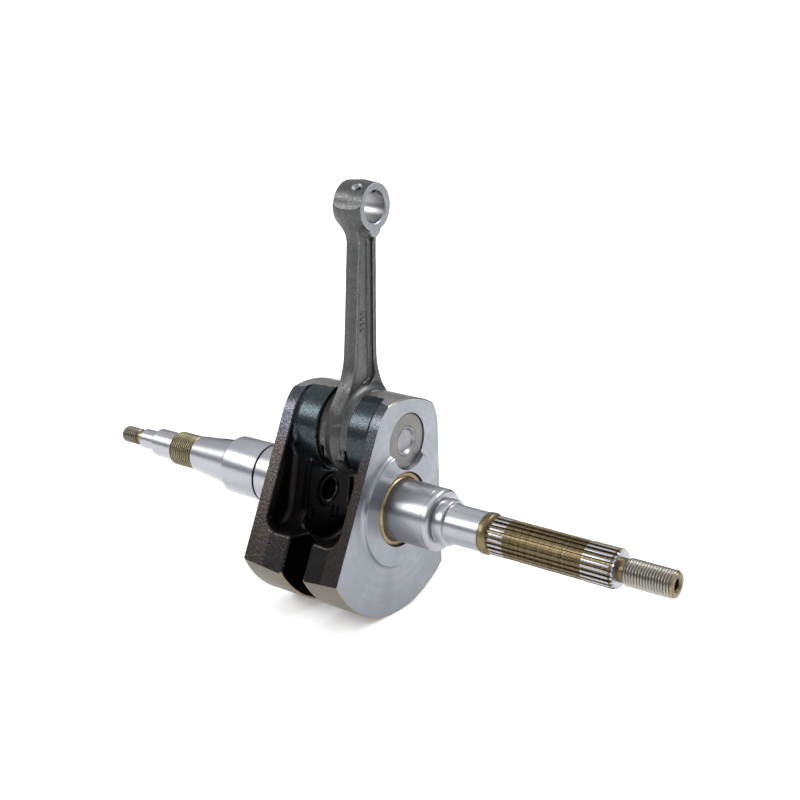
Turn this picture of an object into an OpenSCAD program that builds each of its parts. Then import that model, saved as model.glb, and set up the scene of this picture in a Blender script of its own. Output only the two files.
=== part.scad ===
// Built-up crankshaft with its connecting rod and roller big end.
// Millimetres. +X runs along the main axis to the splined drive end, +Z is up.
// The origin is on the main axis, at the middle of the drive-side bearing seat.

/* [Pose] */
// Crank turned past top centre, in degrees, towards +Y
crank_turn = 9.8; // [0:0.1:20]
// Connecting rod's lean from upright, in degrees, towards +Y
rod_lean = 0.6; // [-5:0.1:5]

/* [Main dimensions] */
// Distance from the main axis to the crankpin axis, half the stroke
throw = 36; // [35:0.1:37]
// Distance from the crankpin axis to the piston pin axis
rod_length = 120; // [112:1:130]
// Turned outer radius of both webs
web_radius = 59; // [58:0.1:60]
// Distance from the rod's middle plane to the middle of the drive-side seat, where the origin is
seat_centre = 45; // [44:0.1:46]

/* [Webs] */
// Distance from the rod's middle plane to a web's turned outer face
web_face = 31.5; // [31:0.1:32]
// Thickness of the thin plate of a web
plate_thickness = 7; // [6:0.1:8]
// Radius of the plate around the crankpin axis, at the outer face
plate_lobe_radius = 27.7; // [27:0.1:28.5]
// Slope of the plate's straight sides from the web's own axis, in degrees
skirt_angle = 14.2; // [13.5:0.1:15]
// Draft of the forged sides, in degrees
draft = 7; // [4:0.5:8]
// Radius of the pin boss on a web's inner side
boss_radius = 24.5; // [24:0.1:25]
// Distance from the middle plane to the face of a pin boss
boss_face = 10; // [10:0.05:10.2]
// Distance from the middle plane to the inner face of a counterweight
weight_face = 7.1; // [6.5:0.1:8]
// Height of a counterweight's top step below the main axis
weight_top = 19; // [18:0.5:20]
// Radius of the hollow that the counterweight leaves around the main axis
weight_hollow = 28.5; // [27:0.5:29]
// Distance from the middle plane to the inner face of the column behind the pin boss
column_face = 15.8; // [15:0.1:17]
// Half the width of that column
column_half = 18.2; // [17:0.1:20]
// Distance from the middle plane to the floor of the forged side pockets
pocket_floor = 27.2; // [26.5:0.1:28]
// Width of the rim left around a side pocket
pocket_rim = 4.6; // [4:0.1:5]
// Radius of the fillet between a web's plate and the top of its counterweight
weight_fillet = 8.5; // [5:0.5:9]
// Radius of the raised hub around a main journal
hub_radius = 31; // [30:0.5:32]
// Height of that hub above the web's face
hub_rise = 2.5; // [2:0.1:3]
// Radius of the centre hole in a web's inner face
centre_hole_radius = 6.2; // [5.5:0.1:6.5]
// Depth of the centre hole
centre_hole_depth = 30; // [20:1:35]

/* [Shafts] */
// Radius of both main journals
journal_radius = 16.5; // [16:0.1:17]
// Distance from the middle plane to the end of the drive-side bearing seat
drive_seat_end = 56; // [55:0.1:57]
// Distance from the middle plane to the end of the flywheel-side bearing seat
fly_seat_end = 56.5; // [56:0.1:57]
// Radius of the drive shaft between journal and spline
shank_radius = 10.4; // [10.3:0.05:10.5]
// Outer radius of the drive spline
spline_radius = 10.1; // [10:0.05:10.2]
// Root radius of the drive spline
spline_root = 8.9; // [8.7:0.1:9.1]
// Number of spline teeth
spline_teeth = 22; // [20:1:24]
// Crest radius of the drive-end thread, M14
drive_thread_radius = 7; // [6.9:0.05:7]
// Crest radius of the flywheel thread, M20
fly_thread_radius = 9.9; // [9.8:0.05:10]
// Crest radius of the tip thread, M10
tip_thread_radius = 4.9; // [4.8:0.05:5]
// Pitch of the threads
pitch = 1.5; // [1.5:0.01:1.5]
// Small radius of the flywheel taper
taper_small = 10.4; // [10.3:0.05:10.5]
// Large radius of the flywheel taper
taper_large = 13.5; // [13.3:0.05:13.7]
// Width of the Woodruff keyway in the taper
keyway_width = 4; // [3:0.5:5]
// Radius of the Woodruff cutter
keyway_radius = 6.5; // [6:0.5:7]

/* [Crankpin and big end] */
// Radius of the crankpin
pin_radius = 15; // [15:0.01:15.01]
// Radius of the hole along the crankpin
pin_bore = 8; // [7.5:0.1:8.2]
// Radius of the hollow in a plug's outer end
plug_hollow = 5.8; // [5.4:0.1:6]
// Radius of the big end's bore
big_bore = 19; // [18.99:0.01:19]
// Number of big-end rollers
rollers = 16; // [14:1:16]
// Radial clearance of a roller on each side
roller_clearance = 0.03; // [0.02:0.01:0.05]
// Length of a roller
roller_length = 11; // [10:0.5:12]
// Half the width of the roller cage
cage_half = 7.4; // [7:0.1:7.6]
// Radial gap between the cage and the pin, and between the cage and the rod
cage_gap = 0.3; // [0.2:0.05:0.4]
// Thickness of a thrust washer
washer_thickness = 0.8; // [0.7:0.05:0.85]

/* [Connecting rod] */
// Half the width of the big end and of the small end, along the main axis
rod_half = 9; // [9:0.01:9.05]
// Outer radius of the big end's turned side faces
big_face_radius = 22.7; // [22.5:0.1:23]
// Outer radius of the big end at the forging's parting line
big_ridge_radius = 25; // [24.3:0.1:25.2]
// Width of the turned land at each side of the big end
big_land = 4.1; // [3:0.1:5]
// Half the thickness of the beam, along the main axis
beam_half = 4.3; // [4.2:0.1:4.8]
// Depth of the pocket in each face of the beam
beam_pocket = 3.1; // [2.5:0.1:3.3]
// Width of the beam's flanges
beam_flange = 3; // [2.6:0.1:3.2]
// Radius of the piston pin bore
small_bore = 8.5; // [8.4:0.05:8.6]
// Outer radius of the small end at its faces
small_radius = 12.1; // [12:0.1:12.3]
// Outer radius of the small end at the parting line
small_ridge_radius = 13; // [12.8:0.1:13.2]
// Radius of the oil holes in the small end
oil_hole = 1.5; // [1.2:0.1:1.8]
// Angle of those holes from the top of the small end, in degrees
oil_hole_angle = 37; // [30:1:42]
// Distance of those holes from the rod's middle plane, towards the drive end
oil_hole_offset = 3.2; // [0:0.1:3.5]
// Width of the oil slots across the big end's faces
oil_slot = 7; // [6:0.5:8]
// Width of the shallow recess above each slot
slot_recess = 12.4; // [10:0.2:13]
// Angle of that recess from the bottom of the big end, in degrees
slot_angle = 61; // [50:1:65]

/* [Hidden] */
$fn = 96;
plate_inner = web_face - plate_thickness;
hub_face = web_face + hub_rise;
groove_radius = 1.8;
thread_depth = 0.55 * pitch;
drive_thread_start = 166.2;
drive_end = 192;
fly_taper_end = 82;
fly_thread_end = 111.3;
fly_thread_start = 129.3;
fly_tip = 174;
tip_thread_end = 161;
spline_start = 92;
spline_end = 162.6;
pin_end = web_face - 0.5;
roller_radius = (big_bore - pin_radius) / 2 - roller_clearance;
roller_pitch = (big_bore + pin_radius) / 2;
over = 0.01;

// Radii of the drive shaft: thread root, neck and collar beside the journal, collar before the spline.
drive_thread_root = drive_thread_radius - 0.95;
neck_radius = 11.3;
collar_radius = 12.2;
spline_collar = 10.75;

// Radii of the two shanks between the flywheel thread and the tip thread, and where they end.
long_shank_radius = 8.35;
long_shank_end = 145.5;
short_shank_radius = 5.95;
short_shank_end = 157.6;

// Half outline of the beam, as height above the crankpin axis and half width.
beam_outline = [[14, 19.8], [18, 18.4], [22, 15.9], [26, 13.7], [30, 12], [34, 10.6], [38, 9.8],
    [42, 9.4], [47, 9.2], [70, 8.4], [rod_length - 35, 8.1], [rod_length - 20, 7.6],
    [rod_length - 16, 7.7], [rod_length - 12, 8.3], [rod_length - 8, 9.4], [rod_length - 5, 10.8]];

// Half outline of the pocket in the beam, as height and half width.
pocket_outline = [[25.5, 0], [26.2, 4], [28, 7.4], [30.5, 8.1], [34, 7.4], [38, 6.8], [42, 6.5], [47, 6.2],
    [70, 5.5], [rod_length - 20, 4.7], [rod_length - 17.5, 3.8], [rod_length - 16, 2.2],
    [rod_length - 15.4, 0]];

function roller_name(i) = str("big_end_roller_", i < 10 ? "0" : "", i);

// Turns a solid drawn along +Z so that it lies along +X.
module along_x() {
    rotate([0, 90, 0]) children();
}

// Puts a piece drawn about the main axis and the rod's middle plane into the part's frame.
module on_crank() {
    translate([-seat_centre, 0, 0]) rotate([-crank_turn, 0, 0]) children();
}

// Puts a piece drawn about the crankpin axis into the part's frame, without turning it.
module on_pin() {
    translate([-seat_centre, throw * sin(crank_turn), throw * cos(crank_turn)]) children();
}

// A ring or disc along +X, from x0 to x1.
module rod_x(x0, x1, r) {
    translate([x0, 0, 0]) along_x() cylinder(r = r, h = x1 - x0);
}

// A cone along +X, with radius r0 at x0 and r1 at x1.
module cone_x(x0, x1, r0, r1) {
    translate([x0, 0, 0]) along_x() cylinder(r1 = r0, r2 = r1, h = x1 - x0);
}

// Half profile of a thread from x0 to x1, as points of radius and distance.
function thread_points(x0, x1, crest) = let (n = floor((x1 - x0) / pitch))
    [for (i = [0:n - 1], k = [0:3])
        [k == 0 || k == 3 ? crest - thread_depth : crest, x0 + pitch * (i + [0.06, 0.44, 0.56, 0.94][k])]];

// Half profile of a convex rounding of radius r that ends at distance x and radius big.
function round_points(big, x, r, s) =
    [for (a = s > 0 ? [90:-15:0] : [0:15:90]) [big - r + r * sin(a), x - s * r + s * r * cos(a)]];

// Solid of revolution along +X from a half profile of radius and distance.
module turned(points) {
    rotate([0, 90, 0]) rotate_extrude() polygon(points);
}

// Removes the drafted side of a web, on the +Y side.
module skirt_cut() {
    translate([0, 0, throw]) rotate([skirt_angle, 0, 0])
        translate([web_face, plate_lobe_radius, 0]) rotate([0, 0, draft])
            translate([-60, 0, -160]) cube([120, 80, 320]);
}

// The web's outline as a solid from x0 to the outer face, turned to its outer radius.
module web_block(x0) {
    inset = (web_face - x0) * tan(draft);
    lobe_join = throw + plate_lobe_radius * sin(skirt_angle) - 1.3;
    intersection() {
        turned([[0, x0], [web_radius - 0.8, x0], [web_radius, x0 + 0.8],
            [web_radius, web_face - 0.8], [web_radius - 0.8, web_face], [0, web_face]]);
        union() {
            translate([0, 0, throw])
                cone_x(x0, web_face, plate_lobe_radius - inset, plate_lobe_radius);
            difference() {
                translate([x0, -70, -70]) cube([web_face - x0, 140, 70 + lobe_join]);
                skirt_cut();
                mirror([0, 1, 0]) skirt_cut();
            }
        }
    }
}

// The counterweight below the main axis, with its hollow around the axis.
module counterweight() {
    difference() {
        intersection() {
            web_block(weight_face);
            translate([0, -70, -70]) cube([70, 140, 70 - weight_top]);
        }
        cone_x(weight_face - 1, column_face, weight_hollow + 1.6, weight_hollow);
    }
}

// The column between pin boss and counterweight, with its fillets into the counterweight.
module column() {
    fillet = 12;
    side = column_half + fillet;
    difference() {
        translate([column_face, -side, -weight_top - 12])
            cube([web_face - column_face - 1, 2 * side, weight_top + 12 + throw - 10]);
        for (s = [-1, 1])
            translate([0, s * side, 0]) {
                translate([0, 0, fillet - weight_top]) rod_x(0, plate_inner, fillet);
                translate([0, -fillet, fillet - weight_top]) cube([plate_inner, 2 * fillet, 60]);
            }
        for (s = [-1, 1])
            translate([plate_inner, s * side - fillet * (s + 1) / 2, fillet - weight_top])
                cube([20, fillet, 60]);
    }
}

// The fillet between the plate's inner face and the counterweight's top.
module counterweight_fillet() {
    x0 = plate_inner - weight_fillet;
    z0 = weight_fillet - weight_top;
    intersection() {
        web_block(weight_face);
        difference() {
            translate([x0, -60, -weight_top - 1]) cube([weight_fillet + 1, 120, weight_fillet + 1]);
            translate([x0, -61, z0]) rotate([-90, 0, 0]) cylinder(r = weight_fillet, h = 122);
        }
    }
}

// The pocket between the rim, the column, the pin boss and the counterweight.
module side_pockets() {
    low = 3 - weight_top;
    high = 29;
    corner = 6;
    reach = plate_lobe_radius - pocket_rim - 0.9;
    y_low = (reach + (throw - low) * sin(skirt_angle)) / cos(skirt_angle);
    y_high = (reach + (throw - high) * sin(skirt_angle)) / cos(skirt_angle);
    base = column_half + 2.8;
    difference() {
        for (s = [-1, 1])
            translate([pocket_floor, 0, 0]) rotate([0, -90, 0])
                linear_extrude(pocket_floor - plate_inner + weight_fillet + 1)
                    polygon([[low, s * (base + 5)], [low, s * (y_low - corner)], [low + corner, s * y_low],
                        [high - 3, s * y_high], [high, s * (y_high - 2)], [high, s * base],
                        [low + 5, s * base]]);
        translate([0, 0, throw]) cone_x(0, 40, boss_radius, boss_radius + 5);
    }
}

// One crank half about the middle plane, on the +X side, without its shaft.
module web() {
    difference() {
        union() {
            web_block(plate_inner);
            counterweight();
            counterweight_fillet();
            column();
            intersection() {
                translate([0, 0, throw]) {
                    rod_x(boss_face + 0.8, plate_inner + 1, boss_radius);
                    cone_x(boss_face, boss_face + 0.8, boss_radius - 0.8, boss_radius);
                }
                turned([[0, 0], [web_radius - 0.8, 0], [web_radius - 0.8, boss_face],
                    [web_radius, boss_face + 0.8], [web_radius, plate_inner + 2], [0, plate_inner + 2]]);
            }
            rod_x(column_face - 0.7, column_face + 1, centre_hole_radius + 3);
            rotate([0, 90, 0]) rotate_extrude() hub_profile();
        }
        side_pockets();
        translate([0, 0, throw]) {
            rod_x(0, hub_face + 5, pin_radius);
            cone_x(web_face - 0.4, web_face, pin_radius, pin_radius + 0.4);
            cone_x(boss_face - over, boss_face + 0.6, pin_radius + 0.6, pin_radius);
        }
    }
}

// The centre hole in a web's inner face, with its chamfer and drilled bottom.
module centre_hole() {
    bottom = column_face + centre_hole_depth;
    cone_x(column_face - 1.1, column_face + 0.2, centre_hole_radius + 1.3, centre_hole_radius);
    rod_x(column_face, bottom, centre_hole_radius);
    cone_x(bottom - over, bottom + 3, centre_hole_radius, 1);
}

// The raised hub with its concave foot and the round groove at the journal's root.
module hub_profile() {
    foot = 2.4;
    difference() {
        translate([0, web_face - 2]) square([hub_radius + foot, hub_rise + 2]);
        translate([hub_radius + foot, hub_face - 0.1]) circle(r = foot);
        translate([journal_radius + groove_radius, hub_face]) circle(r = groove_radius);
    }
}

// The drive-side shaft: journal, shank, spline and thread.
module drive_shaft() {
    turned(concat(
        [[0, hub_face - 3], [journal_radius, hub_face - 3]],
        round_points(journal_radius, drive_seat_end + 4.3, 4.3, 1),
        [[neck_radius, drive_seat_end + 4.4], [neck_radius, drive_seat_end + 5.5],
         [collar_radius, drive_seat_end + 5.8]],
        round_points(collar_radius, drive_seat_end + 10.4, 1.8, 1),
        [[shank_radius, drive_seat_end + 10.6], [shank_radius, spline_start - 5.4],
         [spline_collar, spline_start - 4.8], [spline_collar, spline_start - 2.6],
         [spline_collar - 0.55, spline_start - 1], [spline_root, spline_start + 0.8],
         [spline_root, spline_end], [drive_thread_root, spline_end],
         [drive_thread_root, drive_thread_start - 0.6]],
        thread_points(drive_thread_start, drive_end - 1, drive_thread_radius),
        [[drive_thread_root, drive_end], [0, drive_end]]));
    intersection() {
        spline_teeth_block();
        turned([[0, spline_start - 1.5], [spline_root, spline_start - 1.5],
            [spline_radius, spline_start + 0.4], [spline_radius, 101], [spline_radius - 0.15, 101.3],
            [spline_radius - 0.15, 145.7], [spline_radius, 146], [spline_radius, spline_end - 2.6],
            [spline_radius - 0.5, spline_end], [0, spline_end]]);
    }
}

// The toothed bar that the spline is cut from.
module spline_teeth_block() {
    step = 360 / spline_teeth;
    root = spline_root - 0.05;
    tip = spline_radius + 0.6;
    translate([spline_start - 2, 0, 0]) rotate([0, 90, 0]) linear_extrude(spline_end - spline_start + 2)
        polygon([for (i = [0:spline_teeth - 1], k = [0:3])
            let (a = step * (i + [0, 0.17, 0.41, 0.58][k]), r = k == 0 || k == 3 ? root : tip)
            [r * cos(a), r * sin(a)]]);
}

// The flywheel-side shaft: journal, taper, thread, two shanks and the tip thread.
module flywheel_shaft() {
    turned(concat(
        [[0, hub_face - 3], [journal_radius, hub_face - 3], [journal_radius, fly_seat_end],
         [journal_radius - 0.8, fly_seat_end + 0.1], [journal_radius - 0.8, fly_seat_end + 1.3],
         [journal_radius, fly_seat_end + 1.4], [journal_radius, fly_seat_end + 12]],
        round_points(journal_radius, fly_seat_end + 25.5, 1.5, 1),
        [[taper_large, fly_taper_end], [taper_small, fly_thread_end],
         [fly_thread_radius - thread_depth, fly_thread_end + 0.5]],
        thread_points(fly_thread_end + 0.6, fly_thread_start, fly_thread_radius),
        [[fly_thread_radius - 1.2, fly_thread_start], [long_shank_radius, fly_thread_start + 0.1]],
        round_points(long_shank_radius, long_shank_end, 2, 1),
        [[short_shank_radius, long_shank_end + 0.1]],
        round_points(short_shank_radius, short_shank_end, 1.2, 1),
        [[tip_thread_radius - 0.9, short_shank_end + 0.1], [tip_thread_radius - 0.9, tip_thread_end]],
        thread_points(tip_thread_end, fly_tip - 0.6, tip_thread_radius),
        [[tip_thread_radius - 1, fly_tip], [0, fly_tip]]));
}

// The drive-side crank half, forged in one piece with its shaft.
module drive_side_half() {
    on_crank() color("LightSteelBlue") difference() {
        union() {
            web();
            drive_shaft();
        }
        centre_hole();
        cone_x(drive_end - 1.2, drive_end + over, 2.7, 3.9);
        rod_x(drive_end - 14, drive_end - 1, 2.9);
    }
}

// The flywheel-side crank half, with an empty keyway in its taper.
module flywheel_side_half() {
    on_crank() mirror([1, 0, 0]) color("LightSteelBlue") difference() {
        union() {
            web();
            flywheel_shaft();
        }
        centre_hole();
        translate([89.5, keyway_width / 2, 14]) rotate([90, 0, 0])
            cylinder(r = keyway_radius, h = keyway_width);
        cone_x(fly_tip - 2.2, fly_tip + over, 1, 2.5);
        rod_x(fly_tip - 6, fly_tip - 2, 1);
    }
}

// The hollow crankpin, pressed into both halves.
module crankpin() {
    on_crank() translate([0, 0, throw]) color("DimGray")
        turned([[pin_bore, -pin_end], [pin_radius - 0.8, -pin_end], [pin_radius, -pin_end + 0.8],
            [pin_radius, pin_end - 0.8], [pin_radius - 0.8, pin_end], [pin_bore, pin_end]]);
}

// A cup-shaped plug pressed into an end of the hollow crankpin.
module plug() {
    turned([[0, pin_end - 6], [pin_bore - 0.5, pin_end - 6], [pin_bore, pin_end - 5.5],
        [pin_bore, pin_end - 0.2], [pin_bore - 0.4, pin_end + 0.1], [plug_hollow + 1, pin_end + 0.1],
        [plug_hollow, pin_end - 1.2], [plug_hollow - 0.4, pin_end - 1.7], [0, pin_end - 1.7]]);
}

// The plug at the drive end of the crankpin.
module drive_plug() {
    on_crank() translate([0, 0, throw]) color("Silver") plug();
}

// The plug at the flywheel end of the crankpin.
module flywheel_plug() {
    on_crank() translate([0, 0, throw]) color("Silver") mirror([1, 0, 0]) plug();
}

// A flat washer between the big end and the face of a pin boss.
module washer(x0) {
    on_pin() difference() {
        rod_x(x0, x0 + washer_thickness, big_face_radius - 0.3);
        rod_x(x0 - 1, x0 + 2, pin_radius + 0.05);
    }
}

// The thrust washer on the drive side.
module drive_thrust_washer() {
    color("Goldenrod") washer(boss_face - washer_thickness);
}

// The thrust washer on the flywheel side.
module flywheel_thrust_washer() {
    color("Goldenrod") washer(-boss_face);
}

// A plate between two sides of a half outline, from x0 to x1.
module plate_x(outline, x0, x1) {
    other = [for (i = [len(outline) - 1:-1:0]) [outline[i][0], -outline[i][1]]];
    translate([x1, 0, 0]) rotate([0, -90, 0]) linear_extrude(x1 - x0) polygon(concat(outline, other));
}

// The forged connecting rod with its bored and faced ends.
module connecting_rod() {
    ridge = rod_half - big_land;
    flank = 1.9;
    knob = 2.8;
    on_pin() rotate([-rod_lean, 0, 0]) color("Gray") difference() {
        union() {
            rod_x(-rod_half, rod_half, big_face_radius);
            cone_x(-ridge, 0, big_ridge_radius - flank, big_ridge_radius);
            cone_x(0, ridge, big_ridge_radius, big_ridge_radius - flank);
            translate([0, 0, -1.2]) {
                cone_x(-ridge, 0, big_ridge_radius - flank, big_ridge_radius);
                cone_x(0, ridge, big_ridge_radius, big_ridge_radius - flank);
            }
            plate_x(beam_outline, -beam_half, beam_half);
            translate([0, 0, rod_length]) small_end_body();
            for (s = [-1, 1], t = [-1, 1])
                rotate([t * slot_angle, 0, 0]) translate([s * 5.6, t * 0.8, knob - 24]) rod_x(-1.6, 1.6, knob);
        }
        rod_x(-20, 20, big_bore);
        for (s = [-1, 1]) {
            translate([s * rod_half, 0, 0]) cone_x(-0.5, 0.5, big_bore + 0.5 * (1 - s) / 2,
                big_bore + 0.5 * (1 + s) / 2);
            translate([s * (beam_half - beam_pocket / 2 + 1), 0, 0])
                plate_x(pocket_outline, -beam_pocket / 2 - 1, beam_pocket / 2 + 1);
        }
        for (s = [-1, 1], t = [-1, 1])
            rotate([t * slot_angle, 0, 0]) {
                translate([s * rod_half - 2, -slot_recess / 2, -25]) cube([4, slot_recess, 9]);
                translate([s * rod_half - 3.5, -t * 5.5 - oil_slot / 2, -25]) cube([7, oil_slot, 9]);
            }
        translate([0, 0, rod_length]) small_end_holes();
    }
}

// Outer shape of the small end about the piston pin axis.
module small_end_body() {
    tongue = 4;
    drop = 11.2;
    cone_x(-rod_half, 0, small_radius, small_ridge_radius);
    cone_x(0, rod_half, small_ridge_radius, small_radius);
    translate([0, 0, -drop]) rod_x(-rod_half, rod_half, tongue);
    translate([-rod_half, -tongue, -drop]) cube([2 * rod_half, 2 * tongue, 4]);
}

// Piston pin bore with its chamfers, and the two oil holes above it.
module small_end_holes() {
    rod_x(-20, 20, small_bore);
    cone_x(rod_half - 0.6, rod_half + over, small_bore, small_bore + 0.6);
    cone_x(-rod_half - over, -rod_half + 0.6, small_bore + 0.6, small_bore);
    for (t = [-1, 1]) rotate([t * oil_hole_angle, 0, 0]) translate([oil_hole_offset, 0, 0]) {
        cylinder(r = oil_hole, h = 20);
        translate([0, 0, small_ridge_radius - 1.7]) cylinder(r1 = oil_hole, r2 = oil_hole + 2, h = 2);
    }
}

// The slotted steel cage that spaces the rollers.
module big_end_cage() {
    slot_half = roller_radius + 0.12;
    on_pin() color("Gainsboro") difference() {
        rod_x(-cage_half, cage_half, big_bore - cage_gap);
        rod_x(-20, 20, pin_radius + cage_gap);
        for (i = [1:rollers]) rotate([360 * i / rollers, 0, 0])
            translate([-roller_length / 2 - 0.15, -slot_half, pin_radius - 1])
                cube([roller_length + 0.3, 2 * slot_half, 8]);
    }
}

// One big-end roller with chamfered ends.
module big_end_roller(i) {
    on_pin() color("WhiteSmoke") rotate([360 * i / rollers, 0, 0]) translate([0, 0, roller_pitch])
        turned([[0, -roller_length / 2], [roller_radius - 0.3, -roller_length / 2],
            [roller_radius, 0.3 - roller_length / 2], [roller_radius, roller_length / 2 - 0.3],
            [roller_radius - 0.3, roller_length / 2], [0, roller_length / 2]]);
}

drive_side_half();
flywheel_side_half();
crankpin();
drive_plug();
flywheel_plug();
drive_thrust_washer();
flywheel_thrust_washer();
connecting_rod();
big_end_cage();
for (i = [1:rollers])
    big_end_roller(i);
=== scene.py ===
import math

import bmesh
import bpy
import numpy as np
from mathutils import Matrix, Vector


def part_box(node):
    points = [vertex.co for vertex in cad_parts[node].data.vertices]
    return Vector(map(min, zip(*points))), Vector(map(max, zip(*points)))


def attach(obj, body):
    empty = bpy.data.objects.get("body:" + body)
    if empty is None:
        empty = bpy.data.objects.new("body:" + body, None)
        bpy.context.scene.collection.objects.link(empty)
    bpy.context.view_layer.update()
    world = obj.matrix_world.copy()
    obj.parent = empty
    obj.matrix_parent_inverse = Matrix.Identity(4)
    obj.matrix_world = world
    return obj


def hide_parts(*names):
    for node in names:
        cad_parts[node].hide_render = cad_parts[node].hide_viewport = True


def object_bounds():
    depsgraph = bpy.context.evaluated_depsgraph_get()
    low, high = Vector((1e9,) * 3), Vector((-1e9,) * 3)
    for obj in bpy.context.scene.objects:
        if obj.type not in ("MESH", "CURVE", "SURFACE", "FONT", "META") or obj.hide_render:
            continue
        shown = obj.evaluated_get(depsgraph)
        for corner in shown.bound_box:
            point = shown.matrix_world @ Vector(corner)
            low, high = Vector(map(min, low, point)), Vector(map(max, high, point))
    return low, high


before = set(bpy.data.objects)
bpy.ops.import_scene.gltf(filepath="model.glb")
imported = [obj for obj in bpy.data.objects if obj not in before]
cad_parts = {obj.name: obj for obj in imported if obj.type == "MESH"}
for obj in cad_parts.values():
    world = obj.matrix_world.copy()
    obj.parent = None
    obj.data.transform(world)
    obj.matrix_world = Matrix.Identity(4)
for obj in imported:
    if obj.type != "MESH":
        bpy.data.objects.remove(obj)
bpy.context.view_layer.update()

# Sizes are in millimetres, about the main axis and the rod's middle plane, with the crankpin up.
MM = 0.001
CRANK_TURN = math.radians(9.8)
ROD_LEAN = math.radians(0.6)
THROW = 36.0
ROD_LENGTH = 120.0
WEB_RADIUS = 58.97  # just under the CAD's 59, so that the contoured rim stays inside its box
WEB_FACE = 31.5
PLATE_INNER = 24.5
LOBE_RADIUS = 27.7
SKIRT = math.radians(14.2)
DRAFT = math.tan(math.radians(7))
POCKET_FLOOR = 27.2
RIM = 4.6
RIM_FILLET = 8.5
BOSS_RADIUS = 24.5
BOSS_FACE = 10.0
WEIGHT_FACE = 7.1
WEIGHT_TOP = 19.0
HOLLOW = 28.5
COLUMN_FACE = 15.8
COLUMN_HALF = 17.7
HUB_FACE = 34.0
HUB_RADIUS = 31.0
JOURNAL = 16.5
GROOVE = 1.8
PIN_RADIUS = 15.0
PIN_BORE = 8.0
PIN_END = 31.0
BIG_BORE = 19.0
SMALL_BORE = 8.5
ROD_HALF = 9.0
LAND = 4.9
BEAM_HALF = 4.3
SLOT_TURN = math.radians(61)
SLOT_HALF = 6.2
OIL_HOLE_TURN = math.radians(37)
PITCH = 1.5
THREAD_DEPTH = 0.55 * PITCH
HOLE_RADIUS = 6.2
HOLE_END = 45.8
HUB_BACK = 30.5
CENTRE_RING = 9.2
MARK_RING_PLACE = (-14.2, -11.6)
MARK_RING_OUTER = 4.1
MARK_RING_INNER = 2.9
BIG_LAND_RADIUS = 22.7
BARREL_RADIUS = 23.0
BARREL_DROP = 0.6
PARTING_RIDGE = 2.0
BEAM_RIDGE = 0.7
BEAM_MIDDLE = 64
SMALL_RADIUS = 12.98  # just under the CAD's 13, for the same reason as the web
TONGUE_RADIUS = 4.0
KNOB_REACH = 21.2
KNOB_RADIUS = 2.8
KNOB_HALF = 7.2
SLOT_DEPTH = 15
OIL_HOLE_X = 3.2
OIL_HOLE_RADIUS = 1.5
OIL_SINK = 11.3
SPLINE_TEETH = 22
SPLINE_ROOT = 8.9
SPLINE_TOP = 10.1
ROLLERS = 16
ROLLER_RADIUS = 1.97
ROLLER_HALF = 5.5
ROLLER_ORBIT = 17.0
BEVEL = 0.7071  # turns a sum of two distances into the distance from a 45 degree chamfer
HALVES = (("drive", False), ("flywheel", True))  # the flywheel half is the drive half's pieces mirrored

MIDDLE = (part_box("connecting_rod")[0].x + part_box("connecting_rod")[1].x) / 2
PIN = (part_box("crankpin")[0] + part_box("crankpin")[1]) / 2
TO_MM = Matrix.Scale(MM, 4)
ON_CRANK = Matrix.Translation((MIDDLE, 0, 0)) @ Matrix.Rotation(-CRANK_TURN, 4, "X") @ TO_MM
ON_PIN = Matrix.Translation(PIN) @ TO_MM
ON_ROD = Matrix.Translation(PIN) @ Matrix.Rotation(-ROD_LEAN, 4, "X") @ TO_MM
FLIP = Matrix.Scale(-1, 4, (1, 0, 0))


# ---- Solid shapes as distance functions, meshed with their edges kept ----

def join(a, b, r):
    """Union of two solids, with a fillet of radius r where they meet."""
    return np.maximum(r, np.minimum(a, b)) - np.hypot(np.maximum(r - a, 0), np.maximum(r - b, 0))


def meet(a, b, r):
    """Intersection of two solids, with its new edges rounded to radius r."""
    return np.minimum(-r, np.maximum(a, b)) + np.hypot(np.maximum(r + a, 0), np.maximum(r + b, 0))


def carve(a, b, r):
    """Solid a without solid b, with the new edges rounded to radius r."""
    return meet(a, -b, r)


def gradient(solid, points, h=0.02):
    """Unit direction in which the distance grows, at an (n, 3) array of points."""
    total = np.zeros_like(points)
    for corner in ((1, 1, 1), (1, -1, -1), (-1, 1, -1), (-1, -1, 1)):
        offset = h * np.array(corner, float)
        total += offset * solid(*(points + offset).T)[:, None]
    return total / np.maximum(np.linalg.norm(total, axis=1, keepdims=True), 1e-12)


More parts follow.
